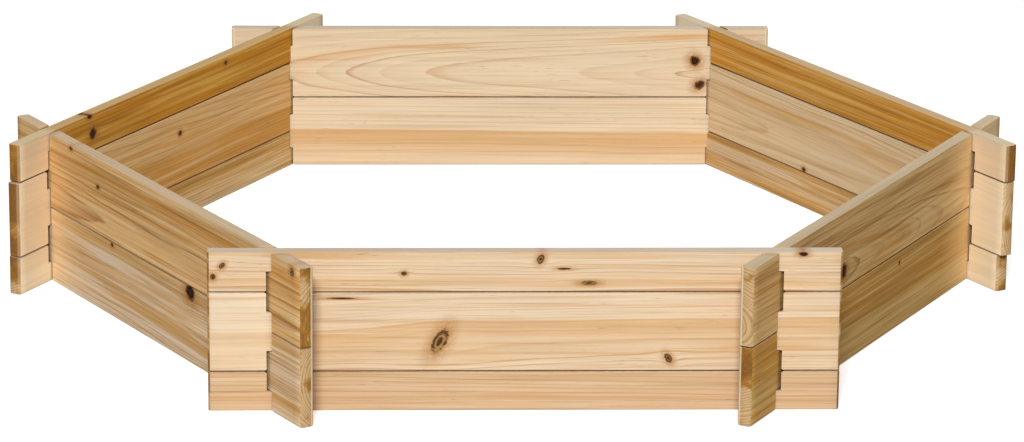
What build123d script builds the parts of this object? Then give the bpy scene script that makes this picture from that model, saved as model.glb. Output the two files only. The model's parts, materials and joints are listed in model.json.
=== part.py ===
"""Hexagonal sandbox frame of softwood boards, laid up like a log cabin with no fasteners.

Three of the six sides are two full boards high. The three between them are a half board, a full board
and a half board high, so each board on one side reaches half a board past the joints of the next side.
Every board is notched near both ends. The notches are cut at the corner angle, and each one takes the
neck that a crossing board keeps between its own notches. The ends stand out past the corners.

Row frame: millimetres, +Z up, the origin on the ground at the centre of the hexagon, +X along the front
side. A board's own frame: x along the board, y towards the sand, z up from its lower edge.
"""

from build123d import *
from math import radians, sin, tan
import os

# Timber
BOARD_HEIGHT = 100.0  # a full board, on edge
BOARD_THICKNESS = 18.0
HALF_BOARD_HEIGHT = BOARD_HEIGHT / 2  # a full board ripped in two

# Lay-up
SIDES = 6
CROSSING_SPACING = 600.0  # along a board, between the centres of its two crossings
END_OVERHANG = 80.0  # from a crossing's centre to the board's end

# Notches, measured along the board
STUB_SIDE_GAP = 4.5  # between a crossing board and the notch wall nearer the board's end
RUN_SIDE_GAP = 2.5  # between a crossing board and the other notch wall
FLOOR_GAP = 0.5  # kept by each notch's floor, so that boards bear edge on edge
MOUTH_CHAMFER = 2.0  # on the two corners where a notch opens

# Eased edges
LONG_ARRIS = 0.8
END_CHAMFER = 3.0  # on the four upright edges at the two ends

CORNER_TURN = 360.0 / SIDES  # degrees from one side to the next
APOTHEM = CROSSING_SPACING / 2 / tan(radians(CORNER_TURN / 2))
BOARD_LENGTH = CROSSING_SPACING + 2 * END_OVERHANG
NOTCH_DEPTH = HALF_BOARD_HEIGHT / 2 + FLOOR_GAP
NOTCH_WIDTH = BOARD_THICKNESS / sin(radians(CORNER_TURN)) + STUB_SIDE_GAP + RUN_SIDE_GAP
NOTCH_OFFSET = (STUB_SIDE_GAP - RUN_SIDE_GAP) / 2  # from the crossing's centre towards the end
CUT_CLEAR = 5.0  # how far the notch cutter runs past the timber


def notch_cutter(end, edge_z, inward):
    """The space of one notch. end is +1 or -1 along x; inward is +1 for a notch cut down into z < edge_z."""
    half = NOTCH_WIDTH / 2
    mouth = half + MOUTH_CHAMFER
    profile = [(-half, NOTCH_DEPTH), (half, NOTCH_DEPTH), (half, MOUTH_CHAMFER), (mouth, 0)]
    profile += [(mouth, -CUT_CLEAR), (-mouth, -CUT_CLEAR), (-mouth, 0), (-half, MOUTH_CHAMFER)]
    centre = end * (CROSSING_SPACING / 2 + NOTCH_OFFSET)
    points = [Vector(centre + x, 0, edge_z - inward * depth) for x, depth in profile]
    face = make_face(Polyline(*points, close=True))
    slant = Vector(end, tan(radians(CORNER_TURN)), 0).normalized()
    reach = (BOARD_THICKNESS / 2 + CUT_CLEAR) / slant.Y
    return extrude(face, amount=reach, dir=slant) + extrude(face, amount=reach, dir=-slant)


def board(height, notched_edges):
    """One board in its own frame. notched_edges names the edges that are cut: "upper", "lower" or both."""
    blank = Pos(0, 0, height / 2) * Box(BOARD_LENGTH, BOARD_THICKNESS, height)
    blank = chamfer(blank.edges().filter_by(Axis.Z), END_CHAMFER)
    rims = blank.faces().sort_by(Axis.Z)[0].edges() + blank.faces().sort_by(Axis.Z)[-1].edges()
    blank = chamfer(rims, LONG_ARRIS)
    for end in (-1, 1):
        if "upper" in notched_edges:
            blank -= notch_cutter(end, height, 1)
        if "lower" in notched_edges:
            blank -= notch_cutter(end, 0, -1)
    return blank


# Each side as its number, counted from the front anticlockwise seen from above, and its boards upwards
FULL_BOARD = board(BOARD_HEIGHT, ("upper", "lower"))
FOOT_BOARD = board(HALF_BOARD_HEIGHT, ("upper",))
RIM_BOARD = board(HALF_BOARD_HEIGHT, ("lower",))
STAGGERED = [
    ("bottom_half_board", FOOT_BOARD, 0),
    ("middle_board", FULL_BOARD, HALF_BOARD_HEIGHT),
    ("top_half_board", RIM_BOARD, HALF_BOARD_HEIGHT + BOARD_HEIGHT),
]
PLAIN = [
    ("bottom_board", FULL_BOARD, 0),
    ("top_board", FULL_BOARD, BOARD_HEIGHT),
]
LAY_UP = {
    "front": (0, STAGGERED),
    "front_right": (1, PLAIN),
    "rear_right": (2, STAGGERED),
    "rear": (3, PLAIN),
    "rear_left": (4, STAGGERED),
    "front_left": (5, PLAIN),
}

os.makedirs("parts", exist_ok=True)
for side, (number, courses) in LAY_UP.items():
    for name, timber, height in courses:
        placed = Rot(0, 0, CORNER_TURN * number) * Pos(0, -APOTHEM, height) * timber
        export_step(placed, f"parts/{side}_{name}.step")
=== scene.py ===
import json
from math import hypot, pi, radians, sin, tan

import bpy
import numpy as np
from mathutils import Matrix, Vector


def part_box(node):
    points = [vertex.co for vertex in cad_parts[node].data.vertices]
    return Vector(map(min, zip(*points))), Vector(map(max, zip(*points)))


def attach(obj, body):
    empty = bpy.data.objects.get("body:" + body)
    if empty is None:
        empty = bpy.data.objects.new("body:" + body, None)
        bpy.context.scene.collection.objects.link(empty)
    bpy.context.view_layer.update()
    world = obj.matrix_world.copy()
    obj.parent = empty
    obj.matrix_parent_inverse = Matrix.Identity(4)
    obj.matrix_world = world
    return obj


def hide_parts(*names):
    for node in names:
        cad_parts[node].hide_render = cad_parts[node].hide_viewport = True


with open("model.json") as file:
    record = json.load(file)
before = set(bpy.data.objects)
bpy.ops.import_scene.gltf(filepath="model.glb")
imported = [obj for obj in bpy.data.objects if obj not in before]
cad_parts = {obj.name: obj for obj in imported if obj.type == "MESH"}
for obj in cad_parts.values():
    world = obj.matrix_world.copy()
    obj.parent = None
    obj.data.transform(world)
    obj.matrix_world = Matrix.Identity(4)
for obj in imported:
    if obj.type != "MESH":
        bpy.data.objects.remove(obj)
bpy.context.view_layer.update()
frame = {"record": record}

# ---- Front side: half board, full board, half board ---------------------------------------------
# Planed fir boards stand on edge, one on another, with no screw or nail. The bottom and the top board
# are a full board ripped in two, and all three are notched at the corner angle near both ends.

CORNER_TURN = radians(60)  # from one side of the hexagon to the next
low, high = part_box("front_middle_board")
LENGTH, THICKNESS = high.x - low.x, high.y - low.y
SIDE_DISTANCE = -(low.y + high.y) / 2  # from the middle of the sand to the middle of a board
CROSSING = SIDE_DISTANCE * tan(CORNER_TURN / 2)  # from a board's middle to where the next side crosses it
NOTCH_DEPTH = 0.0255
STUB_SIDE_GAP, RUN_SIDE_GAP = 0.0045, 0.0025
NOTCH_INNER = CROSSING - THICKNESS / sin(CORNER_TURN) / 2 - RUN_SIDE_GAP
NOTCH_OUTER = CROSSING + THICKNESS / sin(CORNER_TURN) / 2 + STUB_SIDE_GAP
MOUTH_CHAMFER = 0.002
LONG_EASING = 0.0010  # the planer's rounding of the four long edges
END_CHAMFER = 0.003
END_EASING = 0.0008
KNOT_SUNK = 0.0007  # how far a dead knot has shrunk back from the face
EDGE_WAVER = 0.0004  # how unevenly the edges that bear on each other have shrunk
BOW = 0.0004


def ruled(low, high, step, marks):
    """Lines from low to high, about a step apart, with every mark among them."""
    marks = [low, *sorted(m for m in set(marks) if low < m < high), high]
    lines = [low]
    for a, b in zip(marks, marks[1:]):
        lines += list(np.linspace(a, b, max(1, round((b - a) / step)) + 1)[1:])
    return np.array(lines)


def steps_in(edge, inward, reach):
    """Marks that crowd towards an edge which is to be eased over that reach."""
    return [edge + inward * reach * share for share in (0, 0.2, 0.45, 0.7, 1)]


def wavering(rng, along, amount):
    """A slow unevenness along a board, from 0 to the amount."""
    waves = sum(share * np.sin(2 * pi * along / length + rng.uniform(0, 2 * pi))
                for length, share in ((0.83, 0.45), (0.31, 0.3), (0.12, 0.15), (0.047, 0.1)))
    return amount * (0.5 + 0.5 * waves)


def eased(first, second, reach, roundness):
    """How far a point moves off each of two edge faces that it is first and second away from."""
    u, v = (np.clip(1 - distance / reach, 0, 1) for distance in (first, second))
    u_kept = roundness * np.sqrt(1 - v * v / 2) + (1 - roundness) * (1 - v / 2)
    v_kept = roundness * np.sqrt(1 - u * u / 2) + (1 - roundness) * (1 - u / 2)
    return reach * u * (1 - u_kept), reach * v * (1 - v_kept)


def board_mesh(name, height, notched, seed, knots, shrunk, longer):
    """One board in its own frame: x along it, y towards the sand, z up from its lower edge."""
    rng = np.random.default_rng(seed)
    half, thick = LENGTH / 2, THICKNESS / 2
    marks_x = [s * m for s in (-1, 1) for m in steps_in(half, -1, END_CHAMFER)
               + steps_in(NOTCH_INNER, -1, MOUTH_CHAMFER) + steps_in(NOTCH_OUTER, 1, MOUTH_CHAMFER)]
    marks_z = steps_in(0, 1, LONG_EASING) + steps_in(height, -1, LONG_EASING)
    marks_z += [MOUTH_CHAMFER, height - MOUTH_CHAMFER]
    marks_z += [NOTCH_DEPTH] * ("lower" in notched) + [height - NOTCH_DEPTH] * ("upper" in notched)
    for knot_x, knot_z, size, stretch, *_ in knots:
        for share in (-1.3, -1, -0.8, -0.4, 0, 0.4, 0.8, 1, 1.3):
            mark_x, mark_z = (knot_x + share * size * stretch) / 1000, (knot_z + share * size) / 1000
            if size > 2 and min(abs(mark_x - m) for m in marks_x) > 0.0005:
                marks_x.append(mark_x)
            if size > 2 and min(abs(mark_z - m) for m in marks_z) > 0.0005:
                marks_z.append(mark_z)
    xs, zs = ruled(-half, half, 0.012, marks_x), ruled(0, height, 0.007, marks_z)
    ys = ruled(-thick, thick, 0.005, steps_in(-thick, 1, END_CHAMFER) + steps_in(thick, -1, END_CHAMFER)
               + steps_in(-thick, 1, LONG_EASING)[1:4] + steps_in(thick, -1, LONG_EASING)[1:4])
    last_x, last_y, last_z = len(xs) - 1, len(ys) - 1, len(zs) - 1

    middle_x, middle_z = abs(xs[1:] + xs[:-1]) / 2, (zs[1:] + zs[:-1]) / 2
    in_notch_x = (middle_x > NOTCH_INNER) & (middle_x < NOTCH_OUTER)
    in_notch_z = np.zeros(last_z, bool)
    if "upper" in notched:
        in_notch_z |= middle_z > height - NOTCH_DEPTH
    if "lower" in notched:
        in_notch_z |= middle_z < NOTCH_DEPTH
    timber = np.pad(~(in_notch_x[:, None] & in_notch_z[None, :]), 1)

    found, faces = {}, []

    def corner(i, k, j):
        return found.setdefault((i, k, j), len(found))

    def wall(points, turned):
        faces.append([corner(*p) for p in (points if turned else points[::-1])])

    for i in range(last_x):
        for j in range(last_z):
            if not timber[i + 1, j + 1]:
                continue
            for k, turned in ((0, True), (last_y, False)):
                wall([(i, k, j), (i + 1, k, j), (i + 1, k, j + 1), (i, k, j + 1)], turned)
            for k in range(last_y):
                for side, turned in ((0, False), (1, True)):
                    if not timber[i + 2 * side, j + 1]:
                        wall([(i + side, k, j), (i + side, k + 1, j),
                              (i + side, k + 1, j + 1), (i + side, k, j + 1)], turned)
                    if not timber[i + 1, j + 2 * side]:
                        wall([(i, k, j + side), (i + 1, k, j + side),
                              (i + 1, k + 1, j + side), (i, k + 1, j + side)], turned)

    lattice = np.array(list(found))
    x, y, z = xs[lattice[:, 0]], ys[lattice[:, 1]], zs[lattice[:, 2]]
    from_end, from_face, from_edge = half - abs(x), thick - abs(y), np.minimum(z, height - z)
    moved = np.zeros((len(x), 3))
    uneven = 0.75 + wavering(rng, x + 0.3 * np.sign(y) + 0.7 * np.sign(z - height / 2), 0.5)
    into_y, into_z = eased(from_face, from_edge, LONG_EASING, 1.0)
    moved[:, 1] += into_y * uneven
    moved[:, 2] += into_z * uneven
    into_x, into_y = eased(from_end, from_face, END_CHAMFER, 0.25)
    moved[:, 0] += into_x
    moved[:, 1] += into_y
    into_x, into_z = eased(from_end, from_edge, END_EASING, 1.0)
    moved[:, 0] += into_x
    moved[:, 2] += into_z
    for edge, away in (("upper", height - z), ("lower", z)):
        if edge in notched:
            for past, outward in ((NOTCH_INNER - abs(x), 1), (abs(x) - NOTCH_OUTER, -1)):
                beside = past > -1e-6
                into_x, into_z = eased(np.where(beside, past, 1), away, MOUTH_CHAMFER, 0.3)
                moved[:, 0] += outward * into_x
                moved[:, 2] += into_z
    past_notch = np.clip((abs(x) - NOTCH_OUTER) / (half - NOTCH_OUTER), 0, 1)
    x = x - np.sign(x) * (moved[:, 0] - longer * past_notch)
    y = y - np.sign(y) * moved[:, 1]
    z = z + np.where(z < height / 2, 1, -1) * moved[:, 2]

    face_side = np.isin(lattice[:, 1], (0, last_y))
    for knot_x, knot_z, size, stretch, dark, lean in knots:
        if size > 2:
            above = z * 1000 - knot_z
            away = np.hypot((x * 1000 - knot_x - lean * above) / stretch, above) / size
            sunk = np.clip((1.1 - away) / 0.35, 0, 1)
            y -= np.sign(y) * face_side * KNOT_SUNK * dark * sunk * sunk * (3 - 2 * sunk)

    starts_turning, square_again = NOTCH_INNER - 0.06, half - 0.004
    slanting = np.interp(abs(x), [starts_turning, NOTCH_INNER - 0.004, NOTCH_OUTER + 0.004, square_again],
                         [0, 1, 1, 0])
    x = x + np.sign(x) * slanting * y / tan(CORNER_TURN)
    foot, rim = shrunk + wavering(rng, x, EDGE_WAVER), shrunk + wavering(rng, x, EDGE_WAVER)
    if len(notched) == 1:  # a half board's other edge is on the ground or is the rim
        foot, rim = foot * ("lower" in notched), rim * ("upper" in notched)
    z = foot + z * (1 - (foot + rim) / height)
    y = y + rng.uniform(-BOW, BOW) * (1 - (x / CROSSING) ** 2)

    mesh = bpy.data.meshes.new(name)
    mesh.from_pydata(np.stack([x, y, z], 1).tolist(), [], faces)
    mesh.update()
    mesh.shade_smooth()
    mesh.set_sharp_from_angle(angle=radians(38))
    return mesh


class Grain:
    """A socket in a timber's shader. Arithmetic on it adds Math nodes, and new() adds any other node."""

    def __init__(self, tree, socket):
        self.tree, self.socket = tree, socket

    def new(self, kind, settings, sockets, output=0):
        node = self.tree.nodes.new(kind)
        for name, value in settings.items():
            setattr(node, name, value)
        for key, value in sockets.items():
            if isinstance(value, Grain):
                self.tree.links.new(value.socket, node.inputs[key])
            else:
                node.inputs[key].default_value = value
        return Grain(self.tree, node.outputs[output])

    def maths(self, operation, *values):
        return self.new("ShaderNodeMath", {"operation": operation}, dict(enumerate(values)))

    def __add__(self, other):
        return self.maths("ADD", self, other)

    def __sub__(self, other):
        return self.maths("SUBTRACT", self, other)

    def __rsub__(self, other):
        return self.maths("SUBTRACT", other, self)

    def __mul__(self, other):
        return self.maths("MULTIPLY", self, other)

    def __truediv__(self, other):
        return self.maths("DIVIDE", self, other)

    def __rtruediv__(self, other):
        return self.maths("DIVIDE", other, self)

    __radd__, __rmul__ = __add__, __mul__

    def rise(self, start, end):
        """0 at the start and 1 at the end, with a smooth way between. The start may be the larger."""
        return self.new("ShaderNodeMapRange", {"interpolation_type": "SMOOTHSTEP"},
                        {0: self, 1: start, 2: end, 3: 0.0, 4: 1.0})

    def tinted(self, share, colour, blend="MIX"):
        """This colour with a share of another one in it."""
        return self.new("ShaderNodeMix", {"data_type": "RGBA", "blend_type": blend},
                        {0: share, 6: self, 7: colour}, output=2)

    def noise(self, stretch, offset, detail=2.0, roughness=0.5):
        """Noise, 0 to 1, over this place in millimetres. A stretch is grains to the millimetre each way."""
        place = self.new("ShaderNodeVectorMath", {"operation": "MULTIPLY_ADD"},
                         {0: self, 1: stretch, 2: offset})
        return self.new("ShaderNodeTexNoise", {}, {"Vector": place, "Scale": 1.0, "Detail": detail,
                                                   "Roughness": roughness})


# What shows on the wood besides its own grain
PALED = (0.93, 0.81, 0.60, 1)  # the ends past the crossings, made paler
BOUNCED_LIGHT_TINT = (0.95, 0.70, 0.38, 1)  # a painted glow of light bounced off the crossing boards near a corner
RESIN_DASH = (0.17, 0.075, 0.025, 1)  # short dark streaks in the grain
END_WOOD = (0.64, 0.43, 0.21, 1)  # a cut end
END_RESIN = (0.40, 0.185, 0.022, 1)  # where it has drunk resin in
END_PITCH = (0.20, 0.075, 0.010, 1)  # and where the resin is thickest
END_RING = (0.26, 0.105, 0.025, 1)
OPEN_PORE = (0.82, 0.60, 0.34, 1)
DARK_PORE = (0.17, 0.07, 0.02, 1)
# painted shade where boards bear on each other
JOINT_SHADE = (0.15, 0.070, 0.025, 1)
HANDLED_ARRIS = (0.30, 0.16, 0.07, 1)
# a painted highlight on the eased end corners
CHAMFER_HIGHLIGHT = (0.93, 0.76, 0.50, 1)
KNOT_HALO = (0.45, 0.185, 0.040, 1)
KNOT_EDGE = (0.21, 0.080, 0.018, 1)
BARK = (0.050, 0.024, 0.008, 1)
KNOT_HEART = (0.055, 0.018, 0.006, 1)
# painted shade in the notches
NOTCH_SHADE = (0.075, 0.035, 0.014, 1)


def softwood(name, height, notched, seed, pith, ring_width, taper, tones, stain, bands, knots, pale_ends,
             painted_bounce, soaked, longer, seated):
    """Sawn from a log whose pith runs past the board at (y, z): faces show long grain, and ends show arcs."""
    sap, heart, late_wood = ([part * depth for part, depth in zip(colour, stain)] for colour in tones[:3])
    heart_share, figure = tones[3:]
    rng = np.random.default_rng(seed)
    apart = [tuple(rng.uniform(-400, 400, 3)) for _ in range(12)]  # where this log's noises are sampled
    material = bpy.data.materials.new(name)
    material.use_nodes = True
    tree = material.node_tree
    tree.nodes.clear()
    start = Grain(tree, None)
    metres = start.new("ShaderNodeTexCoord", {}, {}, output="Object")
    place = start.new("ShaderNodeVectorMath", {"operation": "SCALE"}, {0: metres, "Scale": 1000.0})
    x, y, z = (start.new("ShaderNodeSeparateXYZ", {}, {0: place}, output=axis) for axis in "XYZ")
    normal = start.new("ShaderNodeTexCoord", {}, {}, output="Normal")
    facing_x, facing_y, facing_z = (
        start.maths("ABSOLUTE", start.new("ShaderNodeSeparateXYZ", {}, {0: normal}, output=axis))
        for axis in "XYZ")
    cut_across = facing_x.rise(0.50, 0.68)
    in_notch_inner, in_notch_outer = NOTCH_INNER * 1000, NOTCH_OUTER * 1000

    # Grain parts round each knot, as water does round a stone
    ragged = place.noise((0.16, 0.25, 0.25), apart[0], detail=4.0, roughness=0.6)
    parted, knot_marks = 0.0, []
    for knot_x, knot_z, size, stretch, dark, lean in knots:
        above = z - knot_z
        along = (x - knot_x - lean * above) / stretch
        square = along * along + above * above
        wide = (x - knot_x) * (0.42 / max(stretch, 1))
        swell = (1.5 * size) ** 2
        parted = above * (swell / (wide * wide + above * above + swell)) + parted
        knot_marks.append((start.maths("SQRT", square) / size * (0.50 + 1.0 * ragged), dark, size))
    level = z - parted

    # Growth rings about the pith, with bends, a lean and uneven years
    bend = place.noise((0.0016, 0.008, 0.008), apart[1], detail=1.5) - 0.5
    ripple = place.noise((0.007, 0.05, 0.05), apart[2], detail=3.0) - 0.5
    lean_y, lean_z = taper + rng.uniform(-0.012, 0.012), rng.uniform(-0.015, 0.015)
    from_pith_y = y - pith[0] - lean_y * x
    from_pith_z = level - pith[1] - lean_z * x
    radius = start.maths("SQRT", from_pith_y * from_pith_y + from_pith_z * from_pith_z)
    radius = radius + 22 * bend + 2.6 * ripple
    slow_years = start.new("ShaderNodeTexNoise", {"noise_dimensions": "1D"},
                           {"W": radius * 0.035 + apart[3][0], "Scale": 1.0, "Detail": 1.0})
    years = radius / ring_width + 3.4 * slow_years
    season = start.maths("FRACT", years)
    year = start.maths("FLOOR", years)
    boldness = start.new("ShaderNodeTexWhiteNoise", {"noise_dimensions": "1D"}, {"W": year + apart[3][1]})
    late = season.rise(0.70, 0.95) * season.rise(1.0, 0.96) * (0.12 + 0.88 * boldness * boldness)
    ripening = season * season.rise(1.0, 0.95)

    # Fibres, resin streaks and slow changes of tone
    fibre = place.noise((0.010, 0.9, 0.9), apart[4], detail=4.0, roughness=0.65)
    strand = place.noise((0.0028, 0.15, 0.15), apart[5], detail=4.0, roughness=0.62)
    cloud = place.noise((0.004, 0.014, 0.03), apart[6], detail=3.0)
    dashes = place.noise((0.045, 1.3, 1.3), apart[7], detail=1.0).rise(0.67, 0.76)
    dashes = dashes * place.noise((0.01, 0.05, 0.05), apart[9]).rise(0.45, 0.70)
    tone_years = start.new("ShaderNodeTexNoise", {"noise_dimensions": "1D"},
                           {"W": years * 0.27 + apart[3][2], "Scale": 1.0, "Detail": 3.0})
    heartwood = (tone_years + 0.5 * (cloud - 0.5)).rise(0.66 - 0.3 * heart_share, 0.84 - 0.3 * heart_share)
    for sharp, soft, share in bands:
        sharp, soft = (hypot(abs(pith[0]) + THICKNESS * 500, edge - pith[1]) for edge in (sharp, soft))
        outward = 1 if soft > sharp else -1
        band = radius.rise(sharp - outward * 1.5, sharp + outward * 0.8)
        band = band * radius.rise(soft, sharp + outward * 2)
        heartwood = start.maths("MAXIMUM", heartwood, band * (share * 0.6 + share * 0.8 * tone_years))

    wood = start.new("ShaderNodeRGB", {}, {})
    wood.socket.default_value = (*sap, 1)
    wood = wood.tinted(heartwood, (*heart, 1))
    wood = wood.tinted(ripening * 0.16, (*late_wood, 1))
    wood = wood.tinted(late * 0.85, (*late_wood, 1))
    line = place.noise((0.0040, 0.42, 0.42), apart[1], detail=2.0, roughness=0.6).rise(0.56, 0.68)
    weathered = tuple(part * depth for part, depth in zip((0.84, 0.72, 0.56), stain)) + (1,)
    wood = wood.tinted(strand.rise(0.50, 0.66) * (0.34 * figure), (*late_wood, 1))
    wood = wood.tinted(line * (0.30 * figure), tuple(part * 0.62 for part in late_wood) + (1,))
    wood = wood.tinted(strand.rise(0.49, 0.34) * (0.32 * figure), weathered)
    wood = wood.tinted(1.0, 1 - 0.16 * figure + (0.32 * figure) * fibre, "MULTIPLY")
    wood = wood.tinted(1.0, 1 - 0.12 * figure + (0.24 * figure) * cloud, "MULTIPLY")
    wood = wood.tinted(dashes * 0.65, RESIN_DASH)
    # The ends past the crossings are made paler.
    for end, share in zip((-1, 1), pale_ends):
        if share:
            past_crossing = (x * end).rise(CROSSING * 1000 - 4, CROSSING * 1000 + 14)
            wood = wood.tinted(past_crossing * share, PALED)
    # A painted glow of light bounced off the crossing boards brightens the run up to a corner.
    for end, share in zip((-1, 1), painted_bounce):
        if share:
            bounce_by_crossing = (x * end).rise(CROSSING * 1000 - 120, CROSSING * 1000 - 10)
            wood = wood.tinted(bounce_by_crossing * share, BOUNCED_LIGHT_TINT)

    # Cut ends drink in resin in patches, and show the rings as arcs of open pores
    pores = place.noise((0.5, 1.1, 1.1), apart[8], detail=4.0, roughness=0.75)
    resin = place.noise((0.03, 0.035, 0.035), apart[10], detail=3.0) + soaked
    resinous = resin.rise(0.42, 0.56)
    ends = start.new("ShaderNodeRGB", {}, {})
    ends.socket.default_value = END_WOOD
    ends = ends.tinted(resinous, END_RESIN)
    ends = ends.tinted(resin.rise(0.54, 0.68) * 0.8, END_PITCH)
    ends = ends.tinted(season.rise(0.25, 0.90) * season.rise(1.0, 0.93) * 0.55, END_RING)
    ends = ends.tinted(pores.rise(0.50, 0.66) * (0.70 - 0.52 * resinous), OPEN_PORE)
    ends = ends.tinted(pores.rise(0.46, 0.30) * 0.60, DARK_PORE)
    wood = wood.tinted(cut_across, ends)

    # The sawn edges are greyer than the planed faces, partly their own grey and partly a painted sheen, and
    # their corners hold a little dirt. Edges that bear on another board get painted shade, and the eased
    # corners at the ends a pale painted highlight on the sand's side.
    sawn_and_sheen = facing_z.rise(0.75, 0.9)
    sawn_grey_and_sheen = tuple(part * depth ** 0.4 for part, depth in zip((0.66, 0.58, 0.48), stain)) + (1,)
    wood = wood.tinted(sawn_and_sheen * 0.60, sawn_grey_and_sheen)
    from_edge = start.maths("MINIMUM", z, height * 1000 - z)
    from_face = THICKNESS * 500 - start.maths("ABSOLUTE", y)
    from_end = LENGTH * 500 + longer * 1000 - start.maths("ABSOLUTE", x)
    arris = (from_edge + from_face + 0.8 * (ragged - 0.5)).rise(2.0, 0.6)
    # Painted shade darkens an edge that bears on another board, and the face just beside it.
    for meets, from_joint in zip(seated, (z, height * 1000 - z)):
        if meets:
            joint_shade_mask = (from_joint + 1.2 * (ragged - 0.5)).rise(1.8, 0.4)
            wood = wood.tinted(joint_shade_mask * 0.6, JOINT_SHADE)
    # A painted highlight pales the eased corners at the ends on the sand's side.
    chamfer_highlight_mask = (from_end + from_face).rise(5.0, 3.4) * y.rise(-1.0, 1.0) * (0.2 if any(pale_ends) else 0.85)
    wood = wood.tinted(arris * 0.22, HANDLED_ARRIS)
    wood = wood.tinted(chamfer_highlight_mask, CHAMFER_HIGHLIGHT)

    # Knots: a resin halo, a broken rim of bark, a pale ring and a dark heart. Dead ones are black all over
    broken = place.noise((0.11, 0.13, 0.13), apart[11], detail=3.0).rise(0.36, 0.54)
    hollow = 0.0
    for away, dark, size in knot_marks:
        if dark == 0:
            continue
        inner_colour = tuple((1 - dark) * part + dark * black
                             for part, black in zip((0.46, 0.26, 0.09), (0.020, 0.008, 0.004)))
        halo = away.rise(3.6, 0.9) * ragged.rise(0.22, 0.60) * (0.72 + 0.10 * dark)
        wood = wood.tinted(halo, KNOT_HALO)
        wood = wood.tinted(away.rise(1.42, 1.14) * (0.55 + 0.4 * broken), KNOT_EDGE)
        wood = wood.tinted(away.rise(1.06 - 0.10 * dark, 0.92 - 0.10 * dark), (*inner_colour, 1))
        wood = wood.tinted(away.rise(0.60, 0.84) * away.rise(1.28, 1.04) * broken * 0.85 * (1 - 0.7 * dark),
                           BARK)
        wood = wood.tinted(away.rise(0.56, 0.36) * 0.9, KNOT_HEART)
        hollow = away.rise(1.2, 1.0) * away.rise(0.6, 0.9) * dark + hollow

    # Painted shade darkens the notches and the strip that the crossing board covers, where one board is
    # hidden by another
    across = start.maths("ABSOLUTE", x) - y / tan(CORNER_TURN)
    cut_wall = facing_y.rise(0.95, 0.8) * from_face.rise(0.5, 6.0)
    cut_wall = cut_wall * across.rise(in_notch_inner - 0.5, in_notch_inner)
    cut_wall = cut_wall * across.rise(in_notch_outer + 0.5, in_notch_outer)
    neck = across.rise(in_notch_inner + 3.0, in_notch_inner + 5.0)
    neck = 0.45 * neck * across.rise(in_notch_outer - 5.0, in_notch_outer - 7.0)
    notch_shade_mask = start.maths("MAXIMUM", cut_wall, neck)
    if "upper" not in notched:
        notch_shade_mask = notch_shade_mask * z.rise(height * 1000 - 1, height * 1000 - 3)
    if "lower" not in notched:
        notch_shade_mask = notch_shade_mask * z.rise(1, 3)
    wood = wood.tinted(notch_shade_mask * 0.72, NOTCH_SHADE)

    planer = start.maths("SINE", x * (2 * pi / 5.5) + 5 * cloud)
    proud = 0.045 * late + 0.040 * fibre + 0.06 * strand + 0.0025 * planer - 0.06 * dashes
    proud = proud + cut_across * (0.16 * pores) - 0.25 * hollow
    relief = start.new("ShaderNodeBump", {}, {"Strength": 0.9, "Distance": 0.001, "Height": proud})
    dull = 0.58 + 0.16 * fibre - 0.10 * late + 0.18 * cut_across
    surface = start.new("ShaderNodeBsdfPrincipled", {}, {
        "Base Color": wood, "Roughness": dull, "Normal": relief, "IOR": 1.42, "Specular IOR Level": 0.15})
    finish = tree.nodes.new("ShaderNodeOutputMaterial")
    tree.links.new(surface.socket, finish.inputs["Surface"])
    return material


BODY_OF = {node: body for body, nodes in frame["record"]["behaviour"]["bodies"].items() for node in nodes}


def lay_board(node, turns, notched, seed, pith, ring_width, tones, stain=(1, 1, 1), bands=(), knots=(),
              taper=0.0, pale_ends=(0, 0), painted_bounce=(0, 0), soaked=0.0, shrunk=0.0001, slipped=0.0, longer=0.0):
    """Shapes, grains and lays one board. turns counts the sides round from the front one.

    pith is where the log's middle runs past the board, and taper how fast it draws away along it.
    tones are the colours of its sapwood, heartwood and late wood, how much of it is heartwood and how
    bold its figure is. stain deepens each channel of those colours.
    A band of heartwood is its sharp edge, where it has died away, and its strength.
    A knot is its place along and up the board, its size, how much longer it is than high, how dark it
    is (0 for a swirl in the grain alone) and how far it leans. These places and sizes are in millimetres.
    pale_ends is how much paler the two ends are made past their crossings, and the argument after it how
    strong a painted glow of bounced light is on the run up to them, the end at -x first. soaked is how full
    of resin the cut ends are.
    shrunk, slipped and longer, in metres, are how far its edges have drawn in, how far it has slid in its
    notches and how much longer than the drawing each end was cut.
    """
    low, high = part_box(node)
    height = high.z - low.z
    laid = bpy.data.objects.new(node + "_timber",
                                board_mesh(node + "_timber", height, notched, seed, knots, shrunk, longer))
    seated = (low.z > 0.01, high.z < 0.19)  # whether the lower and the upper edge bear on another board
    laid.data.materials.append(softwood(node + "_grain", height, notched, seed, pith, ring_width, taper,
                                        tones, stain, bands, knots, pale_ends, painted_bounce, soaked,
                                        longer, seated))
    bpy.context.collection.objects.link(laid)
    laid.matrix_world = (Matrix.Rotation(turns * CORNER_TURN, 4, "Z")
                         @ Matrix.Translation((slipped, -SIDE_DISTANCE, low.z)))
    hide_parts(node)
    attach(laid, BODY_OF[node])


PALE = ((0.830, 0.640, 0.430), (0.730, 0.460, 0.225), (0.540, 0.270, 0.095), 0.20, 1.0)
PEACH = ((0.730, 0.495, 0.290), (0.670, 0.405, 0.205), (0.500, 0.260, 0.100), 0.45, 0.8)

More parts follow.
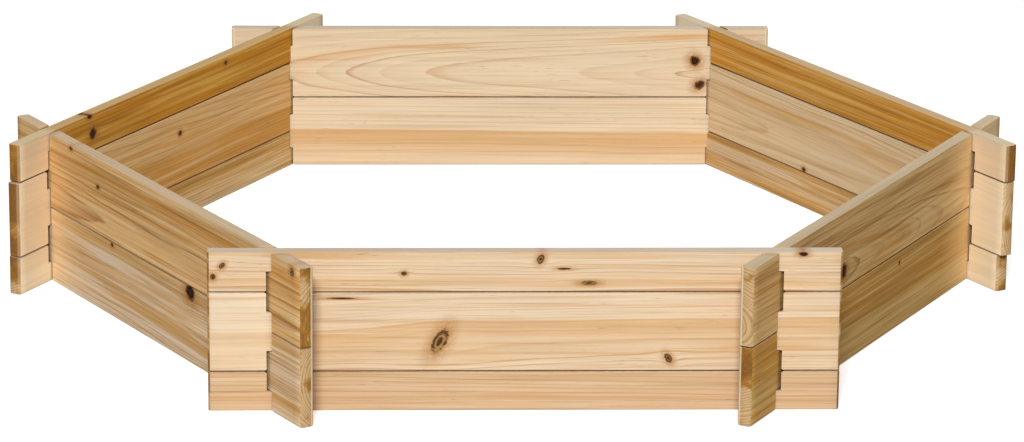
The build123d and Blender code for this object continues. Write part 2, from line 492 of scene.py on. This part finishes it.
lay_board("front_bottom_half_board", 0, ("upper",), 11, (70, -130), 4.6, PEACH, shrunk=0.0006)
lay_board("front_middle_board", 0, ("upper", "lower"), 12, (62, -40), 5.2, PALE, bands=[(57, 2, 0.9)],
          knots=[(-102, 38, 12, 0.58, 0.12, 0.42), (-220, 92, 1.0, 14, 0.7, 0),
                 (173, 16, 4.6, 0.75, 0.5, -0.3)], pale_ends=(0.33, 0), shrunk=0.0002)
lay_board("front_top_half_board", 0, ("lower",), 13, (75, -95), 5.0, PALE, bands=[(9, 30, 0.7)],
          knots=[(-362, 33, 3.0, 0.9, 0.45, 0.3), (-373, 19, 3.0, 0.9, 0.7, 0), (-145, 23, 2.1, 1.3, 0.7, 0),
                 (18, 41, 4.4, 0.8, 0.3, 0.2), (76, 11, 2.2, 3.8, 0.35, 0), (46, 29, 1.1, 6, 0.8, 0),
                 (332, 47, 2.3, 2.0, 1.0, 0)])

# ---- Front right side: two full boards ----------------------------------------------------------
# These are whole boards, so the joint between them comes halfway up the boards that cross them.
# Both are notched in both edges. The upper one carries a loose black knot near its front corner.

OCHRE = ((0.760, 0.540, 0.315), (0.640, 0.370, 0.130), (0.380, 0.190, 0.065), 0.45, 1.7)

# Both boards carry a painted glow of bounced light near their rear corner.
lay_board("front_right_bottom_board", 1, ("upper", "lower"), 21, (55, 200), 3.6, OCHRE,
          stain=(0.86, 0.76, 0.44), bands=[(45, 190, 1.2)], knots=[(58, 85, 2.3, 1.0, 0.9, 0)],
          painted_bounce=(0, 0.45), shrunk=0.0008)
lay_board("front_right_top_board", 1, ("upper", "lower"), 22, (34, 22), 4.2, OCHRE, stain=(0.89, 0.78, 0.52),
          bands=[(14, 50, 0.7)], knots=[(-117, 23, 8, 0.9, 1.0, 0), (87, 90, 5, 3.5, 0, 0)], taper=0.05,
          painted_bounce=(0, 0.50), soaked=-0.14, shrunk=0.0007)

# ---- Rear right side: half board, full board, half board ----------------------------------------
# Laid like the front. Its rim board is redder heartwood than its neighbours.

RED_HEART = ((0.730, 0.470, 0.180), (0.620, 0.350, 0.090), (0.380, 0.180, 0.045), 0.60, 1.6)

lay_board("rear_right_bottom_half_board", 2, ("upper",), 31, (-60, -90), 3.6, OCHRE,
          stain=(1.08, 1.05, 0.95), bands=[(26, 120, 1.2)], pale_ends=(0.72, 0), soaked=0.02, slipped=0.002)
lay_board("rear_right_middle_board", 2, ("upper", "lower"), 32, (-66, 40), 3.8, (*OCHRE[:4], 0.8),
          stain=(1.12, 1.14, 1.12), knots=[(60, 4, 2.4, 1.4, 0.8, 0)], pale_ends=(0.72, 0), soaked=-0.10,
          shrunk=0.0005, slipped=-0.002, longer=0.004)
lay_board("rear_right_top_half_board", 2, ("lower",), 33, (-58, 120), 3.4, RED_HEART,
          stain=(1.02, 0.79, 0.38), pale_ends=(0.72, 0.92), soaked=0.18,
          shrunk=0.0007, slipped=-0.002, longer=0.006)

# ---- Rear side: two full boards -----------------------------------------------------------------
# The palest pair. The upper has long arches of grain that open round two black knots on the face
# towards the sand, and the lower is half orange heartwood.

CREAM = ((0.820, 0.650, 0.440), (0.730, 0.440, 0.200), (0.540, 0.320, 0.160), 0.15, 0.7)

lay_board("rear_bottom_board", 3, ("upper", "lower"), 41, (-52, -55), 6.0, CREAM, bands=[(49, -25, 1.0)],
          shrunk=0.0003, longer=-0.0023)
lay_board("rear_top_board", 3, ("upper", "lower"), 42, (-26, 34), 6.2, CREAM, taper=-0.06,
          knots=[(-275, 53, 6.0, 1.0, 1.0, 0.1), (-282, 18, 5.4, 1.1, 0.9, -0.3)], longer=-0.0023)

# ---- Rear left side: half board, full board, half board -----------------------------------------
# Laid like the front. Its rim board has a knot and a chip by the left corner.

HONEY = ((0.755, 0.520, 0.285), (0.630, 0.350, 0.110), (0.400, 0.195, 0.060), 0.50, 1.7)

lay_board("rear_left_bottom_half_board", 4, ("upper",), 51, (-60, 140), 3.6, HONEY,
          stain=(1.10, 1.12, 1.02), bands=[(28, 110, 1.4)], pale_ends=(0, 0.72), soaked=0.10, slipped=0.0022,
          longer=0.006)
lay_board("rear_left_middle_board", 4, ("upper", "lower"), 52, (-62, 130), 3.8, (*HONEY[:4], 1.1),
          stain=(1.15, 1.04, 0.80), bands=[(48, -90, 1.3)], knots=[(-4, 70, 2.8, 1.2, 0.8, 0)],
          taper=-0.05, pale_ends=(0, 0.72), soaked=0.20, shrunk=0.0008, slipped=0.002, longer=0.005)
lay_board("rear_left_top_half_board", 4, ("lower",), 53, (-70, -60), 3.6, HONEY, stain=(1.05, 0.80, 0.25),
          bands=[(45, -5, 1.2)],
          knots=[(214, 23, 6.3, 1.0, 0.9, 0), (221, 48, 2.3, 2.0, 0.9, 0), (-119, 41, 2.4, 1.3, 0.8, 0)],
          pale_ends=(0.92, 0.72), soaked=0.12, shrunk=0.0008, slipped=-0.002, longer=0.005)

# ---- Front left side: two full boards -----------------------------------------------------------
# The knottiest pair. Grain swirls above the joint, and one big dead knot is cut through by it.

# Both boards carry a painted glow of bounced light near their rear corner.
lay_board("front_left_bottom_board", 5, ("upper", "lower"), 61, (50, 62), 3.4, OCHRE,
          stain=(1.09, 1.12, 1.20), bands=[(70, 40, 0.6)],
          knots=[(101, 92, 8.5, 1.1, 1.0, 0), (-109, 96, 2.2, 1.4, 0.8, 0)], painted_bounce=(0.45, 0), soaked=-0.12)
lay_board("front_left_top_board", 5, ("upper", "lower"), 62, (58, 20), 3.8, HONEY, stain=(1.03, 0.91, 0.68),
          bands=[(48, 80, 0.6)], knots=[(54, 15, 7, 2.4, 0, 0.5), (-221, 95, 2.1, 1.6, 0.7, 0),
                                        (-146, 63, 2.1, 1.8, 0.7, 0), (359, 90, 4.5, 0.9, 0.25, 0)],
          painted_bounce=(0.20, 0), soaked=0.06)

# ---- Ground, light and camera -------------------------------------------------------------------
# A plain pale floor under the frame, one broad lamp high in front of it, a little to the left, and a
# weaker one low behind it for the far faces. The room itself adds only a weak even light, so the
# slanting sides stay in half shade.

floor_mesh = bpy.data.meshes.new("studio_floor")
floor_mesh.from_pydata([(-20, -20, 0), (20, -20, 0), (20, 20, 0), (-20, 20, 0)], [], [(0, 1, 2, 3)])
floor = bpy.data.objects.new("studio_floor", floor_mesh)
bpy.context.collection.objects.link(floor)
paint = bpy.data.materials.new("floor_paint")
paint.use_nodes = True
matt = Grain(paint.node_tree, paint.node_tree.nodes["Principled BSDF"].outputs[0])
for socket_name, value in (("Base Color", (0.42, 0.42, 0.42, 1)), ("Roughness", 0.9)):
    paint.node_tree.nodes["Principled BSDF"].inputs[socket_name].default_value = value
white = matt.new("ShaderNodeBsdfPrincipled", {}, {
    "Base Color": (0.95, 0.95, 0.95, 1), "Roughness": 0.9,
    "Emission Color": (1, 1, 1, 1), "Emission Strength": 0.43})
seen = matt.new("ShaderNodeLightPath", {}, {}, output="Is Camera Ray")
floor_finish = matt.new("ShaderNodeMixShader", {}, {0: seen, 1: matt, 2: white})
paint.node_tree.links.new(floor_finish.socket, paint.node_tree.nodes["Material Output"].inputs["Surface"])
floor_mesh.materials.append(paint)

room = bpy.data.worlds.new("room")
bpy.context.scene.world = room
room.use_nodes = True
room.node_tree.nodes["Background"].inputs["Color"].default_value = (1, 1, 1, 1)
room.node_tree.nodes["Background"].inputs["Strength"].default_value = 0.12

LAMP_DISTANCE = 24.0
for lamp_name, direction, size, energy in (("key_lamp", (-0.07, -0.80, 0.60), 6.4, 5600.0),
                                           ("rear_lamp", (0.25, 0.95, 0.22), 12.0, 1900.0)):
    direction = Vector(direction).normalized()
    lamp = bpy.data.objects.new(lamp_name, bpy.data.lights.new(lamp_name, "AREA"))
    lamp.data.shape, lamp.data.size, lamp.data.energy = "DISK", size, energy
    lamp.location = direction * LAMP_DISTANCE
    lamp.rotation_euler = direction.to_track_quat("Z", "Y").to_euler()
    bpy.context.collection.objects.link(lamp)
bpy.context.scene.view_settings.view_transform = "Standard"

camera = bpy.data.objects.new("camera", bpy.data.cameras.new("camera"))
camera.data.sensor_width = 36.0
camera.data.lens = 162.65
stands_at = (-0.19678, -5.78499, 1.86798)
turned, tipped_down, rolled = -0.03424, 0.30041, 0.00949
camera.matrix_world = (Matrix.Translation(stands_at)
                       @ Matrix.Rotation(turned, 4, "Z")
                       @ Matrix.Rotation(pi / 2 - tipped_down, 4, "X")
                       @ Matrix.Rotation(rolled, 4, "Z"))
bpy.context.collection.objects.link(camera)
bpy.context.scene.camera = camera
